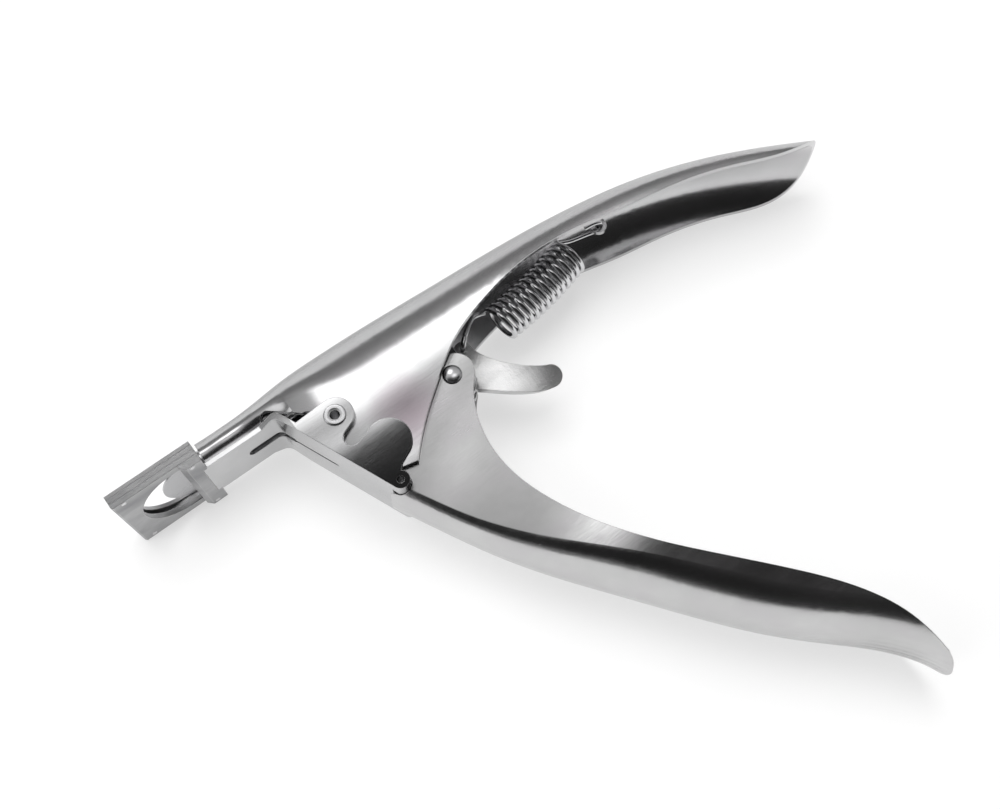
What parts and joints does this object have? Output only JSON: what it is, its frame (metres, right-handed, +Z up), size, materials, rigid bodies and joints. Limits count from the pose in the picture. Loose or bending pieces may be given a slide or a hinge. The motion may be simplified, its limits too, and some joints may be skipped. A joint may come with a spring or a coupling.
{
  "type": "pet nail trimmer",
  "caption": "All-steel guillotine nail trimmer with pressed handles, a tubular nose, a crescent cutting head, a return spring and a thumb catch",
  "frame": {"origin": "middle of the bounding box in X and Y, on the surface that the trimmer lies on", "axes": "+X along the nose from the head to the tails, +Y towards the back of the upper handle, +Z up, square to the plane in which the handles swing"},
  "size_m": [0.1514, 0.1148, 0.02],
  "materials": {
    "pressed_steel": "satin polished pressed stainless sheet",
    "bracket_steel": "satin stamped stainless sheet",
    "ground_steel": "surface-ground stainless, matt",
    "rivet_steel": "bright headed rivets",
    "spring_steel": "bright drawn spring wire",
    "turned_steel": "turned rod",
    "blade_steel": "hardened ground blade",
    "catch_steel": "rough tumbled stamping"
  },
  "bodies": {
    "body": {"body_shell": "pressed_steel", "under_bracket": "bracket_steel", "bracket_rivet": "rivet_steel", "rivet_spacer": "rivet_steel", "die_plate": "ground_steel", "clamp_bar": "ground_steel", "rail_near": "ground_steel", "rail_far": "ground_steel", "keeper_plate": "ground_steel", "head_rivets": "rivet_steel", "return_spring": "spring_steel"},
    "lever": {"lever_handle": "pressed_steel", "drive_pin": "rivet_steel", "pin_washers": "rivet_steel", "catch_washers": "rivet_steel"},
    "plunger": {"plunger_rod": "turned_steel", "yoke_plate_near": "bracket_steel", "yoke_plate_far": "bracket_steel", "yoke_rivet": "rivet_steel", "blade": "blade_steel", "blade_rivet": "rivet_steel"},
    "catch": {"thumb_catch": "catch_steel"}
  },
  "joints": [
    {"name": "lever_pivot", "type": "hinge", "parent": "body", "child": "lever", "pos_m": [-0.03218, 0.02503, 0.01001], "axis": [0, 0, 1], "range_deg": [0, 22], "stiffness_Nm_per_rad": 0.3, "springref_deg": -6.88, "deforming": ["return_spring"]},
    {"name": "plunger_slide", "type": "slide", "parent": "body", "child": "plunger", "axis": [-1, 0, 0], "range_m": [0, 0.00578]},
    {"name": "catch_pivot", "type": "hinge", "parent": "lever", "child": "catch", "pos_m": [-0.01277, 0.03669, 0.01001], "axis": [0, 0, 1], "range_deg": [0, 20], "stiffness_Nm_per_rad": 0.02, "springref_deg": -5.73}
  ],
  "couplings": [
    {"joint": "plunger_slide", "follows": "lever_pivot", "m_per_rad": 0.015063}
  ]
}
